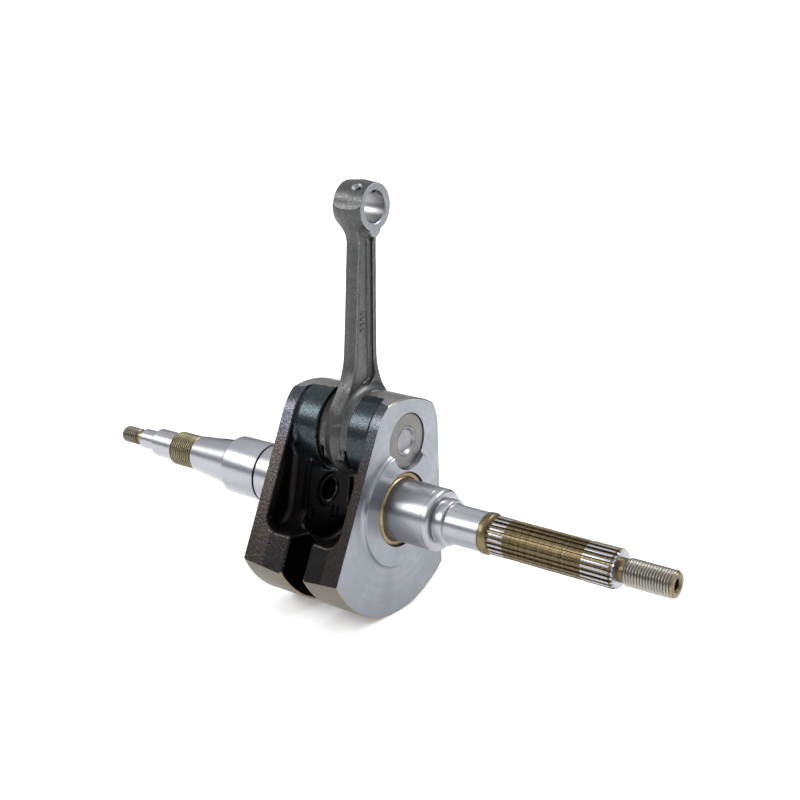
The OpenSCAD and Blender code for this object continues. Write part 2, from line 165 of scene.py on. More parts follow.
def contour(solid, low, high, step):
    """Vertices, quads and corner normals of a solid's surface, on a grid of that step."""
    axes = [np.arange(a - 1.37 * step, b + 2 * step, step) for a, b in zip(low, high)]
    grid = solid(axes[0][:, None, None], axes[1][None, :, None], axes[2][None, None, :])
    cells = np.array(grid.shape) - 1
    crossings, quads = [], []
    for a in range(3):
        b, c = (a + 1) % 3, (a + 2) % 3
        first = np.take(grid, np.arange(cells[a]), axis=a)
        second = np.take(grid, np.arange(1, cells[a] + 1), axis=a)
        at = np.argwhere((first < 0) != (second < 0))
        near, far = first[tuple(at.T)], second[tuple(at.T)]
        point = np.stack([axes[d][at[:, d]] for d in range(3)], 1)
        point[:, a] += step * near / (near - far)
        around = []
        for down_b, down_c in ((0, 0), (1, 0), (1, 1), (0, 1)):
            cell = at.copy()
            cell[:, b] -= down_b
            cell[:, c] -= down_c
            around.append(cell @ np.array((cells[1] * cells[2], cells[2], 1)))
        quad = np.stack(around, 1)
        quad[near > 0] = quad[near > 0][:, ::-1]
        crossings.append(point)
        quads.append(quad)
    crossings, quads = np.concatenate(crossings), np.concatenate(quads)
    used, quads = np.unique(quads, return_inverse=True)
    quads = quads.reshape(-1, 4)
    flat = quads.ravel()
    weight = np.bincount(flat)[:, None]

    def gathered(values):
        return np.stack([np.bincount(flat, values[..., k].ravel()) for k in range(3)], 1) / weight

    corner = np.stack(np.unravel_index(used, cells), 1)
    cell_low = np.stack([axes[d][corner[:, d]] for d in range(3)], 1)
    spread = np.repeat(crossings[:, None], 4, 1)
    vertices = gathered(spread)
    normals = gradient(solid, crossings)
    for _ in range(16):
        gap = np.einsum("ij,ikj->ik", normals, spread - vertices[quads])
        vertices += gathered(gap[..., None] * normals[:, None])
    vertices = np.clip(vertices, cell_low, cell_low + step)
    centres = vertices[quads].mean(1, keepdims=True)
    inner = 0.65 * vertices[quads] + 0.35 * centres
    return vertices, quads, gradient(solid, inner.reshape(-1, 3))


# ---- Meshes of revolution, threads and splines ----

def rounded(points, steps=5):
    """Profile of (x, radius, fillet) points, with an arc of that fillet radius at each corner."""
    out = []
    for i, (x, r, fillet) in enumerate(points):
        if fillet == 0 or i in (0, len(points) - 1):
            out.append((x, r))
            continue
        here = Vector((x, r))
        before = Vector(points[i - 1][:2]) - here
        after = Vector(points[i + 1][:2]) - here
        half = before.angle(after) / 2
        if half > math.radians(89.5):
            out.append((x, r))
            continue
        reach = min(fillet / math.tan(half), 0.49 * before.length, 0.49 * after.length)
        radius = reach * math.tan(half)
        middle = here + (before.normalized() + after.normalized()).normalized() * radius / math.sin(half)
        start = here + before.normalized() * reach - middle
        end = here + after.normalized() * reach - middle
        turn = start.angle(end)
        for k in range(steps + 1):
            t = k / steps
            arc = (math.sin((1 - t) * turn) * start + math.sin(t * turn) * end) / math.sin(turn)
            out.append(tuple(middle + arc))
    return np.array(out)


def revolved(profile, segments):
    """Vertices and quads of a profile turned about the X axis."""
    angles = np.arange(segments) * 2 * math.pi / segments
    x = np.repeat(profile[:, 0], segments)
    r = np.repeat(profile[:, 1], segments)
    a = np.tile(angles, len(profile))
    vertices = np.stack([x, r * np.sin(a), r * np.cos(a)], 1)
    return vertices, strips(len(profile), segments, closed=True)


def strips(rows, columns, closed):
    """Quads between neighbouring rows of a grid of vertices, each row closed on itself or not."""
    i, j = np.meshgrid(np.arange(rows - 1), np.arange(columns - (not closed)), indexing="ij")
    nxt = (j + 1) % columns
    quads = np.stack([i * columns + j, i * columns + nxt, (i + 1) * columns + nxt, (i + 1) * columns + j], -1)
    return quads.reshape(-1, 4)


def thread(start, end, crest, start_chamfer=1.0, end_chamfer=1.0, segments=96, mirrored=False):
    """A right-hand thread along the axis with chamfered ends.

    The mirrored form is left-hand, for a piece that is flipped and so comes out right-hand.
    """
    shape = [(0.0, 0.0), (0.06, 0.0), (0.10, 0.06), (0.40, 0.94), (0.46, 1.0), (0.54, 1.0), (0.60, 0.94),
             (0.90, 0.06), (0.94, 0.0)]
    turns = int((end - start) / PITCH) + 2
    core = crest - THREAD_DEPTH
    rows = [(t + p, h) for t in range(turns) for p, h in shape]
    rows = np.array(rows + [(turns, 0.0)])
    angle = np.arange(segments + 1) * 2 * math.pi / segments
    x = start + PITCH * (rows[:, :1] - 1 + angle[None] / (2 * math.pi))
    r = core + THREAD_DEPTH * rows[:, 1:] + 0 * angle[None]
    x = np.clip(x, start, end)
    limit = np.minimum(core - 0.05 + (x - start) * THREAD_DEPTH / start_chamfer,
                       core - 0.05 + (end - x) * THREAD_DEPTH / end_chamfer)
    r = np.minimum(r, limit)
    hand = 1.0 if mirrored else -1.0
    vertices = np.stack([x, hand * r * np.sin(angle), r * np.cos(angle)], -1).reshape(-1, 3)
    return vertices, strips(len(rows), segments + 1, closed=False)


# ---- Pieces ----

def build_mesh(name, vertices, quads, normals=None, merge=0.0):
    """A Blender mesh in millimetres, with smooth shading or the given corner normals."""
    mesh = bpy.data.meshes.new(name)
    mesh.vertices.add(len(vertices))
    mesh.vertices.foreach_set("co", np.asarray(vertices, np.float32).ravel())
    mesh.loops.add(quads.size)
    mesh.loops.foreach_set("vertex_index", quads.astype(np.int32).ravel())
    mesh.polygons.add(len(quads))
    mesh.polygons.foreach_set("loop_start", np.arange(0, quads.size, 4, dtype=np.int32))
    mesh.update(calc_edges=True)
    mesh.validate()
    if merge:
        clean(mesh, merge)
    mesh.shade_smooth()
    if normals is not None and len(mesh.loops) == len(normals):
        mesh.normals_split_custom_set(normals.tolist())
    elif normals is None:
        mesh.set_sharp_from_angle(angle=math.radians(30))
    return mesh


def clean(mesh, distance):
    """Merges coincident vertices and removes faces without area."""
    work = bmesh.new()
    work.from_mesh(mesh)
    bmesh.ops.remove_doubles(work, verts=work.verts, dist=distance)
    bmesh.ops.dissolve_degenerate(work, dist=distance / 2, edges=work.edges)
    bmesh.ops.recalc_face_normals(work, faces=work.faces)
    work.to_mesh(mesh)
    work.free()


def lathe(name, points, segments=160, steps=5):
    """Mesh of a profile of (x, radius, fillet) points turned about the X axis."""
    vertices, quads = revolved(rounded(points, steps), segments)
    return build_mesh(name, vertices, quads, merge=1e-4)


def without(mesh, cutters):
    """The mesh with each cutter mesh taken out of it."""
    target = bpy.data.objects.new("cut_target", mesh)
    bpy.context.scene.collection.objects.link(target)
    tools = []
    for cutter in cutters:
        tool = bpy.data.objects.new("cut_tool", cutter)
        bpy.context.scene.collection.objects.link(tool)
        change = target.modifiers.new("cut", "BOOLEAN")
        change.object, change.operation, change.solver = tool, "DIFFERENCE", "EXACT"
        tools.append(tool)
    bpy.context.view_layer.update()
    graph = bpy.context.evaluated_depsgraph_get()
    result = bpy.data.meshes.new_from_object(target.evaluated_get(graph))
    for o in [target, *tools]:
        bpy.data.objects.remove(o)
    result.shade_smooth()
    result.set_sharp_from_angle(angle=math.radians(30))
    return result


def zones(mesh, choose):
    """Gives each face the material index that choose(centres, normals) returns for it."""
    count = len(mesh.polygons)
    centres, normals = np.zeros(count * 3), np.zeros(count * 3)
    mesh.polygons.foreach_get("center", centres)
    mesh.polygons.foreach_get("normal", normals)
    index = choose(centres.reshape(-1, 3), normals.reshape(-1, 3))
    mesh.polygons.foreach_set("material_index", np.asarray(index, np.int32))


def piece(name, mesh, place, body, materials, nodes=(), flip=False, choose=None):
    """A mesh in millimetres as a named piece in the part's frame, riding on a body."""
    mesh.name = name
    for m in materials:
        mesh.materials.append(m)
    if choose:
        zones(mesh, choose)
    mesh.transform(place @ FLIP if flip else place)
    if flip:
        mesh.flip_normals()
    obj = bpy.data.objects.new(name, mesh)
    bpy.context.scene.collection.objects.link(obj)
    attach(obj, body)
    if nodes:
        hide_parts(*nodes)


# ---- Materials ----

def set_stops(ramp, stops):
    """Gives a colour ramp its stops of (position, colour)."""
    while len(ramp.elements) < len(stops):
        ramp.elements.new(0.5)
    for element, (at, colour) in zip(ramp.elements, stops):
        element.position = at
        element.color = (*colour, 1.0)


class Look:
    """A procedural material, built from nodes in object coordinates."""

    def __init__(self, name, roughness, metallic=1.0, anisotropic=0.0):
        self.material = bpy.data.materials.new(name)
        self.material.use_nodes = True
        self.tree = self.material.node_tree
        self.shader = self.tree.nodes["Principled BSDF"]
        self.shader.inputs["Metallic"].default_value = metallic
        self.shader.inputs["Roughness"].default_value = roughness
        self.shader.inputs["Anisotropic"].default_value = anisotropic
        place = self.node("ShaderNodeTexCoord").outputs["Object"]
        self.mm = self.node("ShaderNodeVectorMath", {0: place, "Scale": 1 / MM}, operation="SCALE").outputs[0]

    def node(self, kind, inputs=None, **settings):
        made = self.tree.nodes.new(kind)
        for key, value in settings.items():
            setattr(made, key, value)
        for key, value in (inputs or {}).items():
            if isinstance(value, bpy.types.NodeSocket):
                self.tree.links.new(value, made.inputs[key])
            else:
                made.inputs[key].default_value = value
        return made

    def math(self, operation, a, b=0.0):
        return self.node("ShaderNodeMath", {0: a, 1: b}, operation=operation).outputs[0]

    def vector(self, operation, a, b=(0.0, 0.0, 0.0)):
        return self.node("ShaderNodeVectorMath", {0: a, 1: b}, operation=operation).outputs

    def total(self, first, *others):
        """Sum of pairs of a value and its weight."""
        out = self.math("MULTIPLY", *first)
        for pair in others:
            out = self.math("ADD", out, self.math("MULTIPLY", *pair))
        return out

    def parts(self):
        return self.node("ShaderNodeSeparateXYZ", {0: self.mm}).outputs

    def radius(self, y0=0.0, z0=0.0):
        """Distance from a line along X through (y0, z0), in millimetres."""
        moved = self.vector("SUBTRACT", self.mm, (0.0, y0, z0))[0]
        flat = self.vector("MULTIPLY", moved, (0.0, 1.0, 1.0))[0]
        return self.vector("LENGTH", flat)["Value"]

    def noise(self, scale, detail, roughness, along=None):
        """Noise between 0 and 1, over space in millimetres or over one value."""
        inputs = {"Scale": scale, "Detail": detail, "Roughness": roughness}
        if along is None:
            return self.node("ShaderNodeTexNoise", {"Vector": self.mm, **inputs}).outputs["Fac"]
        return self.node("ShaderNodeTexNoise", {"W": along, **inputs}, noise_dimensions="1D").outputs["Fac"]

    def painted_highlight_streaks(self):
        """Noise that changes round the main axis and stays the same along each radius, painted into the
        turned face's tone as highlight streaks.
        """
        flat = self.vector("MULTIPLY", self.mm, (0.0, 1.0, 1.0))[0]
        ray = self.vector("NORMALIZE", flat)[0]
        made = self.node("ShaderNodeTexNoise", {"Vector": ray, "Scale": 3.5, "Detail": 4.0, "Roughness": 0.6})
        return made.outputs["Fac"]

    def spread(self, value, low, high, to_low=0.0, to_high=1.0):
        """The value with its range low to high mapped to another, and held there."""
        made = self.node("ShaderNodeMapRange", {0: value, 1: low, 2: high, 3: to_low, 4: to_high})
        return made.outputs[0]

    def mix(self, amount, a, b, blend="MIX"):
        """Two colours mixed. The Mix node has its colours in sockets 6 and 7, and out in 2."""
        made = self.node("ShaderNodeMix", {0: amount}, data_type="RGBA", blend_type=blend)
        for socket, value in ((made.inputs[6], a), (made.inputs[7], b)):
            if isinstance(value, bpy.types.NodeSocket):
                self.tree.links.new(value, socket)
            else:
                socket.default_value = (*value, 1.0)
        return made.outputs[2]

    def ramp(self, value, stops):
        made = self.node("ShaderNodeValToRGB", {0: value})
        set_stops(made.color_ramp, stops)
        return made.outputs[0]

    def bump(self, height, depth):
        """Bump of the given depth in millimetres, over any bump already there."""
        made = self.node("ShaderNodeBump", {"Height": height, "Distance": depth * MM})
        before = self.shader.inputs["Normal"]
        if before.is_linked:
            self.tree.links.new(before.links[0].from_socket, made.inputs["Normal"])
        self.tree.links.new(made.outputs[0], before)

    def colour(self, value):
        self.tree.links.new(value, self.shader.inputs["Base Color"])

    def rough(self, value):
        self.tree.links.new(value, self.shader.inputs["Roughness"])

    def turned_tangent(self):
        """Stretches the gloss across turning marks that run round the main axis."""
        _, y, z = self.parts()
        ring = self.node("ShaderNodeCombineXYZ", {1: self.math("MULTIPLY", z, -1.0), 2: y}).outputs[0]
        ring = self.node("ShaderNodeVectorTransform", {0: ring}, vector_type="VECTOR",
                         convert_from="OBJECT", convert_to="WORLD").outputs[0]
        normal = self.node("ShaderNodeNewGeometry").outputs["Normal"]
        across = self.vector("CROSS_PRODUCT", ring, normal)[0]
        self.tree.links.new(across, self.shader.inputs["Tangent"])


def ground_steel(name, light, dark, roughness, anisotropic, marks, face=False):
    """Bright turned or ground steel, with fine marks round the main axis."""
    look = Look(name, roughness, anisotropic=anisotropic)
    along = look.radius() if face else look.parts()[0]
    fine = look.noise(6.0, 4.0, 0.7, along=along)
    broad = look.noise(0.35, 2.0, 0.5, along=along)
    cloud = look.noise(0.05, 3.0, 0.6)
    tone = look.total((fine, 0.35), (broad, 0.10), (cloud, 0.30))
    # The turned face's tone carries painted highlight streaks radiating from the axis.
    if face:
        tone = look.math("ADD", tone, look.math("MULTIPLY", look.painted_highlight_streaks(), 0.30))
        tone = look.math("SUBTRACT", tone, 0.15)
    look.colour(look.mix(look.spread(tone, 0.35, 0.65), dark, light))
    look.rough(look.spread(fine, 0.3, 0.7, roughness * 0.8, roughness * 1.25))
    look.bump(fine, marks)
    look.turned_tangent()
    return look.material


FACE_STEEL = ground_steel("turned_face_steel", (0.40, 0.41, 0.435), (0.25, 0.26, 0.285), 0.36, 0.75, 0.004,
                          face=True)
RIM_STEEL = ground_steel("turned_rim_steel", (0.235, 0.215, 0.175), (0.16, 0.143, 0.112), 0.40, 0.6, 0.004)
JOURNAL_STEEL = ground_steel("ground_journal_steel", (0.395, 0.40, 0.42), (0.33, 0.336, 0.36), 0.33, 0.45,
                             0.002)
# A lighter, greyer copy of the rim steel for the rim's top half, painted light.
TOP_RIM_PAINTED_LIGHT = ground_steel("turned_top_painted_light_steel", (0.34, 0.335, 0.32), (0.24, 0.235, 0.225), 0.36, 0.5, 0.003)
THREAD_STEEL = ground_steel("thread_steel", (0.40, 0.39, 0.36), (0.26, 0.25, 0.22), 0.32, 0.3, 0.003)


def tinted_steel(name, light, dark, roughness, hobbed=False):
    """Steel with a brown or gold coat left in its grooves and threads, or across its hobbed teeth; its dark
    copies for thread roots and grooves are painted shade and its light crest copy a painted highlight.
    """
    look = Look(name, roughness)
    grain = look.noise(0.9, 4.0, 0.65)
    wear = look.noise(0.8, 1.0, 0.5, along=look.parts()[0]) if hobbed else look.noise(0.12, 2.0, 0.5)
    tone = look.total((grain, 0.5), (wear, 0.5))
    look.colour(look.mix(look.spread(tone, 0.35, 0.65), dark, light))
    look.rough(look.spread(grain, 0.3, 0.7, roughness * 0.75, roughness * 1.3))
    look.bump(grain, 0.015)
    return look.material


# Dark thread roots: painted shade.
THREAD_ROOT_PAINTED_SHADE = tinted_steel("thread_root_painted_shade_steel", (0.12, 0.104, 0.072), (0.075, 0.064, 0.043), 0.45)
# Light crests of the flywheel thread: a painted highlight.
THREAD_CREST_PAINTED_HIGHLIGHT = tinted_steel("thread_crest_painted_highlight_steel", (0.42, 0.36, 0.22), (0.34, 0.29, 0.17), 0.36)
BRONZE_TINT = tinted_steel("bronze_tinted_steel", (0.21, 0.165, 0.092), (0.10, 0.076, 0.042), 0.36)
SPLINE_TINT = tinted_steel("spline_bronze_steel", (0.165, 0.128, 0.070), (0.070, 0.053, 0.028), 0.38,
                           hobbed=True)
GOLD_TINT = tinted_steel("gold_tinted_steel", (0.34, 0.275, 0.165), (0.20, 0.155, 0.085), 0.32)
# Near-black for groove lips, the undercut groove and the tip's bore: painted shade.
GROOVE_PAINTED_SHADE = tinted_steel("groove_painted_shade_steel", (0.05, 0.045, 0.04), (0.02, 0.02, 0.02), 0.5)


def forged_steel(name, near, middle, far, glint, rough=(0.32, 0.20), deep=0.06, tint=1.0):
    """Forged skin of the webs: one colour round the crankpin, one at the tint's edge and one beyond."""
    look = Look(name, 0.5, metallic=0.85)
    grain = look.noise(1.0, 4.0, 0.65)
    speck = look.noise(2.0, 2.0, 0.6)
    cloud = look.noise(0.06, 3.0, 0.6)
    heat = look.math("ADD", look.radius(PIN.y * 1000, PIN.z * 1000), look.math("MULTIPLY", cloud, 9.0))
    skin = look.ramp(look.spread(heat, 22.0, 44.0), [(0.30, near), (0.52, middle), (0.72, far)])
    level = look.spread(grain, 0.35, 0.65, 0.62, 1.25)
    shade = look.node("ShaderNodeCombineColor", {0: level, 1: level, 2: level}).outputs[0]
    skin = look.mix(1.0, skin, shade, "MULTIPLY")
    sparkle = look.math("MULTIPLY", look.spread(speck, 0.57, 0.66), glint)
    look.colour(look.mix(sparkle, skin, (0.42, 0.41, 0.42)))
    look.rough(look.spread(speck, 0.35, 0.7, *rough))
    look.bump(look.noise(0.9, 1.5, 0.45), deep)
    look.shader.inputs["Specular Tint"].default_value = (tint, tint, tint, 1.0)
    return look.material


FORGED_STEEL = forged_steel("forged_web_steel", (0.026, 0.037, 0.042), (0.027, 0.032, 0.038),
                            (0.017, 0.015, 0.014), 0.10)
# A lighter copy of the forged skin for the webs' outer sides, painted light.
EDGE_PAINTED_LIGHT = forged_steel("forged_edge_painted_light_steel", (0.058, 0.062, 0.070), (0.046, 0.048, 0.062),
                          (0.036, 0.029, 0.025), 0.16, deep=0.08)
# Near-black copies of the forged skin, painted shade: the recesses inside the webs and the hollows beside the
# columns.
RECESS_PAINTED_SHADE = forged_steel("forged_recess_painted_shade_steel", (0.004, 0.006, 0.007), (0.003, 0.004, 0.005),
                            (0.002, 0.001, 0.002), 0.02, (0.48, 0.30), 0.03, tint=0.5)
HOLLOW_PAINTED_SHADE = forged_steel("forged_hollow_painted_shade_steel", (0.014, 0.018, 0.019), (0.013, 0.014, 0.014),
                            (0.013, 0.011, 0.010), 0.02, (0.48, 0.30), 0.04)


def rod_steel(name, dark, light):
    """Blasted forged skin of the connecting rod."""
    look = Look(name, 0.42, metallic=0.9)
    grain = look.noise(2.2, 4.0, 0.65)
    speck = look.noise(1.6, 2.0, 0.6)
    cloud = look.noise(0.07, 3.0, 0.6)
    tone = look.total((grain, 0.8), (cloud, 0.2))
    skin = look.mix(look.spread(tone, 0.35, 0.65), dark, light)
    glint = look.spread(speck, 0.57, 0.68)
    look.colour(look.mix(look.math("MULTIPLY", glint, 0.25), skin, (0.30, 0.30, 0.295)))
    look.rough(look.spread(speck, 0.35, 0.7, 0.46, 0.32))
    look.bump(look.noise(1.0, 1.5, 0.45), 0.07)
    return look.material


ROD_STEEL = rod_steel("blasted_rod_steel", (0.044, 0.045, 0.044), (0.084, 0.085, 0.083))


def fine_steel(name, light, dark, roughness):
    """Machined steel without a direction: faces, bores, rollers and pressed parts."""
    look = Look(name, roughness)
    grain = look.noise(2.4, 4.0, 0.7)
    cloud = look.noise(0.12, 2.0, 0.5)
    tone = look.total((grain, 0.5), (cloud, 0.5))
    look.colour(look.mix(look.spread(tone, 0.35, 0.65), dark, light))
    look.rough(look.spread(grain, 0.3, 0.7, roughness * 0.85, roughness * 1.2))
    look.bump(grain, 0.004)
    return look.material


ROD_FACE = fine_steel("machined_rod_face", (0.29, 0.30, 0.32), (0.22, 0.23, 0.25), 0.45)
# A lighter copy of the rod's skin for the pocket floors, painted light.
POCKET_PAINTED_LIGHT = rod_steel("rod_pocket_painted_light_steel", (0.075, 0.076, 0.075), (0.125, 0.126, 0.124))
# A brighter copy of the rod's skin for the beam's edges, a painted highlight.
ROD_EDGE_PAINTED_HIGHLIGHT = rod_steel("rod_edge_painted_highlight_steel", (0.11, 0.11, 0.108), (0.19, 0.19, 0.188))
BORE_STEEL = fine_steel("honed_bore_steel", (0.28, 0.28, 0.285), (0.22, 0.22, 0.225), 0.33)
PIN_STEEL = fine_steel("crankpin_steel", (0.22, 0.215, 0.205), (0.17, 0.165, 0.155), 0.48)
PLUG_STEEL = fine_steel("plug_steel", (0.29, 0.29, 0.305), (0.22, 0.22, 0.235), 0.38)
ROLLER_STEEL = fine_steel("roller_steel", (0.75, 0.75, 0.76), (0.66, 0.66, 0.67), 0.15)
CAGE_STEEL = fine_steel("cage_steel", (0.48, 0.47, 0.45), (0.36, 0.35, 0.34), 0.35)
WASHER_BRONZE = fine_steel("washer_bronze", (0.10, 0.075, 0.045), (0.06, 0.045, 0.03), 0.45)


# ---- Crank webs ----

# Plain raised marks on a column's face: place across and up, half width, half height.
MARKS = [(5.6, -13.0, 1.5, 3.0), (10.4, -13.6, 1.5, 3.0), (-1.6, -17.2, 0.35, 0.8), (0.4, -17.4, 0.35, 0.8),
         (2.4, -17.6, 0.35, 0.8)]


def radii(centres):
    """Distance of each face's centre from the main axis."""
    return np.hypot(centres[:, 1], centres[:, 2])


def web_solid(x, y, z):
    """Distance to one forged web, with its outer face turned towards +X."""
    side, up = np.abs(y), z - THROW
    inset = (WEB_FACE - x) * DRAFT
    straight = side * math.cos(SKIRT) + up * math.sin(SKIRT)
    round_part = up * math.cos(SKIRT) > side * math.sin(SKIRT)
    from_pin, from_axis = np.hypot(y, up), np.hypot(y, z)
    outline = np.where(round_part, from_pin, straight) - LOBE_RADIUS + inset
    plate = outline + 0 * x
    weight = meet(WEIGHT_FACE - x, z + WEIGHT_TOP, 1.8)
    column_side = side - COLUMN_HALF - (x - COLUMN_FACE) * DRAFT
    column = meet(meet(column_side, COLUMN_FACE - x, 0.9), up + 6, 1.0)
    body = join(weight, column, 11.0)
    hollow_radius = HOLLOW + 0.165 * (COLUMN_FACE - x)
    body = carve(body, meet(from_axis - hollow_radius, x - COLUMN_FACE, 3.0), 1.0)
    body = join(body, meet(PLATE_INNER - x, -RIM - plate, 0.8), RIM_FILLET)
    body = join(body, POCKET_FLOOR - x, 3.5)
    body = meet(body, plate, 1.2)
    boss = meet(from_pin - BOSS_RADIUS - 0.03 * (x - BOSS_FACE), BOSS_FACE - x, 0.8)
    body = join(body, boss, 2.0)
    ring = meet(from_axis - CENTRE_RING, COLUMN_FACE - 0.7 - x, 0.5)
    body = join(body, ring, 0.8)
    from_mark = np.hypot(y - MARK_RING_PLACE[0], z - MARK_RING_PLACE[1])
    pad = meet(from_mark - MARK_RING_OUTER, COLUMN_FACE - 0.45 - x, 0.3)
    body = join(body, carve(pad, from_mark - MARK_RING_INNER + 0 * x, 0.2), 0.3)
    for y_bar, z_bar, half_wide, half_high in MARKS:
        bar = meet(np.abs(y - y_bar) - half_wide, np.abs(z - z_bar) - half_high, 0.25)
        body = join(body, meet(bar, COLUMN_FACE - 0.4 - x, 0.2), 0.3)
    body = np.maximum(body, from_axis - WEB_RADIUS)
    body = np.maximum(body, x - WEB_FACE)
    body = np.maximum(body, (from_axis - WEB_RADIUS + x - WEB_FACE + 0.6) * BEVEL)
    body = np.maximum(body, (from_axis - WEB_RADIUS + WEIGHT_FACE - x + 0.9) * BEVEL)
    body = np.maximum(body, PIN_RADIUS + 0.15 - from_pin)
    body = np.maximum(body, HOLE_RADIUS - from_axis)
    return np.maximum(body, (HOLE_RADIUS + COLUMN_FACE + 0.4 - x - from_axis) * BEVEL)


def web_zones(centres, normals):
    """0 forged, 1 turned outer face, 2 turned rim, 3 gold chamfers, 4 pin bore, 5 plate edge painted lighter
    as light, 6 recess painted dark as shade, 7 centre hole, 8 top rim painted lighter as light, 9 side hollow
    painted dark as shade."""
    x, z, from_axis = centres[:, 0], centres[:, 2], radii(centres)
    side, up = np.abs(centres[:, 1]), z - THROW
    from_pin = np.hypot(side, up)
    straight = side * math.cos(SKIRT) + up * math.sin(SKIRT)
    outline = np.where(up * math.cos(SKIRT) > side * math.sin(SKIRT), from_pin, straight) - LOBE_RADIUS
    outline += (WEB_FACE - x) * DRAFT
    steep = np.abs(normals[:, 0])
    radial = steep < 0.3
    zone = np.zeros(len(x), int)
    # Zones 6 and 9 get near-black skin as painted shade.
    inside = (outline < -0.35) & (from_pin > BOSS_RADIUS + 1.5) & (x > COLUMN_FACE - 1.5)
    zone[inside] = 6
    zone[inside & (side > COLUMN_HALF + 0.5) & (z > -WEIGHT_TOP - 2)] = 9
    zone[(outline < -0.35) & (z < -WEIGHT_TOP - 0.6) & (from_axis < HOLLOW + 2.5)] = 6
    zone[(z < -WEIGHT_TOP - 1.0) & (normals[:, 0] < -0.9)] = 6
    # Zone 5, the outer sides, is painted lighter as light.
    zone[(outline > -0.35) & (x > PLATE_INNER - 1.5)] = 5
    zone[(outline > -0.35) & (x > 20) & (z < 0)] = 5
    # The rim's top half takes the lighter copy, painted light.
    rim = (from_axis > WEB_RADIUS - 0.12) & radial
    zone[rim] = np.where(z[rim] < 0, 2, 8)
    edge = np.minimum(np.abs(x - WEB_FACE), np.abs(x - WEIGHT_FACE)) < 1.0
    edge &= (from_axis > WEB_RADIUS - 1.0) & ~radial & (steep < 0.9)
    zone[edge] = np.where(z[edge] < 0, 3, 2)
    zone[(x > WEB_FACE - 0.12) & (normals[:, 0] > 0.9)] = 1
    zone[(from_pin < PIN_RADIUS + 0.3) & radial] = 4
    zone[(from_axis < HOLE_RADIUS + 0.5) & (x < HUB_FACE)] = 7
    return zone


web_shape = contour(web_solid, (WEIGHT_FACE, -60, -60), (WEB_FACE, 60, 60), 0.6)
WEB_LOOKS = (FORGED_STEEL, FACE_STEEL, RIM_STEEL, GOLD_TINT, PIN_STEEL, EDGE_PAINTED_LIGHT, RECESS_PAINTED_SHADE, BORE_STEEL,
             TOP_RIM_PAINTED_LIGHT, HOLLOW_PAINTED_SHADE)
for half, flip in HALVES:
    piece(f"{half}_web", build_mesh(f"{half}_web", *web_shape), ON_CRANK, "crank", WEB_LOOKS,
          [f"{half}_side_half"], flip, web_zones)

HUB_PROFILE = [(HUB_BACK, 18.0, 0), (HUB_BACK, HUB_RADIUS + 2.6, 0), (31.45, HUB_RADIUS + 2.6, 0)]
HUB_PROFILE += [(HUB_FACE - 0.1 - 2.4 * math.cos(a), HUB_RADIUS + 2.4 - 2.4 * math.sin(a), 0)
                for a in np.radians(np.linspace(0, 85, 10))]
HUB_PROFILE += [(HUB_FACE, HUB_RADIUS - 0.3, 0), (HUB_FACE, JOURNAL + 2 * GROOVE + 0.1, 0)]
HUB_PROFILE += [(HUB_FACE - GROOVE * math.sin(a), JOURNAL + GROOVE + GROOVE * math.cos(a), 0)
                for a in np.radians(np.linspace(4, 176, 16))]
HUB_PROFILE += [(HUB_BACK, JOURNAL - 0.1, 0), (HUB_BACK, 18.0, 0)]


def hub_zones(centres, normals):
    """0 turned face, 1 gold groove, 2 the groove's outer lip painted dark as shade."""
    depth = radii(centres) - JOURNAL
    return np.where((depth > 2 * GROOVE - 0.6) & (depth < 2 * GROOVE + 0.1), 2, depth < 2.9)


def pin_cutter():
    """A plain cylinder at the crankpin's place, long enough to go through a hub."""
    mesh = lathe("cutter", [(20, 0, 0), (20, PIN_RADIUS, 0), (45, PIN_RADIUS, 0), (45, 0, 0)], 128)
    mesh.transform(Matrix.Translation((0, 0, THROW)))
    return mesh


for half, flip in HALVES:
    hub = without(lathe(f"{half}_hub", HUB_PROFILE, 192), [pin_cutter()])
    piece(f"{half}_hub", hub, ON_CRANK, "crank", (FACE_STEEL, GOLD_TINT, GROOVE_PAINTED_SHADE),
          [f"{half}_side_half"], flip, hub_zones)


# ---- Drive-side shaft ----

# Both shafts start with the centre hole and the foot of the journal, inside the hub.
SHAFT_START = [
    (HOLE_END + 3, 0, 0), (HOLE_END, HOLE_RADIUS, 0), (29, HOLE_RADIUS + 0.03, 0), (29, 15, 0),
    (33.2, JOURNAL, 0.1),
]
DRIVE_PROFILE = SHAFT_START + [
    (56.0, JOURNAL, 0.1), (56.15, JOURNAL - 0.12, 0.05), (56.3, JOURNAL - 0.02, 0.05), (60.35, JOURNAL, 4.1),
    (60.35, 11.3, 0.9), (61.6, 11.3, 0.4), (61.8, 12.2, 0.2), (66.4, 12.2, 1.9), (66.5, 10.4, 0.5),
    (86.6, 10.4, 0.3), (87.3, 10.9, 1.6), (90.4, 10.9, 1.8), (91.6, 9.0, 0.6), (93, 8.7, 0), (161, 8.7, 0),
]


def drive_zones(centres, normals):
    """0 ground, 1 bronze collar, 2 bore."""
    x = centres[:, 0]
    return np.where(x > 86.75, 1, np.where((radii(centres) < 7) & (x < 50), 2, 0))


piece("drive_journal", lathe("drive_journal", DRIVE_PROFILE), ON_CRANK, "crank",
      (JOURNAL_STEEL, BRONZE_TINT, BORE_STEEL), ["drive_side_half"], choose=drive_zones)


